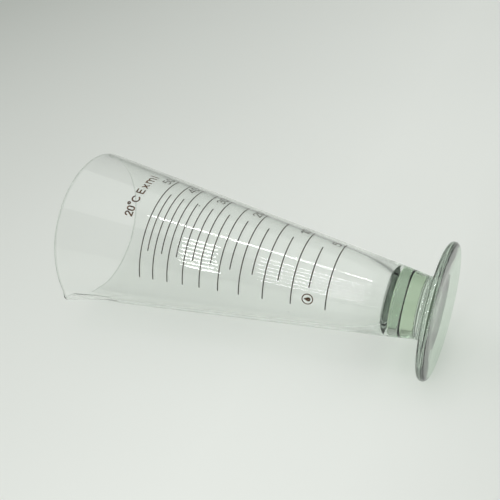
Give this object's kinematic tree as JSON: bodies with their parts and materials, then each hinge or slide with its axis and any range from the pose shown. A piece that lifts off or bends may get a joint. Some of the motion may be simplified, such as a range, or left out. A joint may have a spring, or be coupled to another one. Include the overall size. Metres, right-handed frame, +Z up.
{
  "type": "conical graduated measuring glass",
  "caption": "50 ml footed conical measuring glass: a clear glass cone with a pouring lip, fused to a green glass stem and round foot, with a fired enamel scale from 5 to 50 ml.",
  "frame": {"origin": "on the glass's axis, in the plane that the foot rests on", "axes": "+Z up the axis towards the mouth; +X towards the side that the scale is read from; angles run from +X towards +Y"},
  "size_m": [0.0492, 0.0494, 0.1162],
  "materials": {
    "clear_glass": "clear, fire-polished",
    "green_glass": "clear, pale bottle green",
    "scale_enamel": "fired enamel, dark brown-black, satin",
    "legend_enamel": "fired enamel, brown, satin"
  },
  "bodies": {
    "root": {"conical_body": "clear_glass", "stem": "green_glass", "foot_disc": "green_glass", "line_05_0_ml": "scale_enamel", "line_07_5_ml": "scale_enamel", "line_10_0_ml": "scale_enamel", "line_12_5_ml": "scale_enamel", "line_15_0_ml": "scale_enamel", "line_17_5_ml": "scale_enamel", "line_20_0_ml": "scale_enamel", "line_22_5_ml": "scale_enamel", "line_25_0_ml": "scale_enamel", "line_27_5_ml": "scale_enamel", "line_30_0_ml": "scale_enamel", "line_32_5_ml": "scale_enamel", "line_35_0_ml": "scale_enamel", "line_37_5_ml": "scale_enamel", "line_40_0_ml": "scale_enamel", "line_42_5_ml": "scale_enamel", "line_45_0_ml": "scale_enamel", "line_47_5_ml": "scale_enamel", "line_50_0_ml": "scale_enamel", "numeral_05": "scale_enamel", "numeral_10": "scale_enamel", "numeral_20": "scale_enamel", "numeral_30": "scale_enamel", "numeral_40": "scale_enamel", "numeral_50": "scale_enamel", "legend": "legend_enamel", "badge": "legend_enamel"}
  },
  "joints": []
}
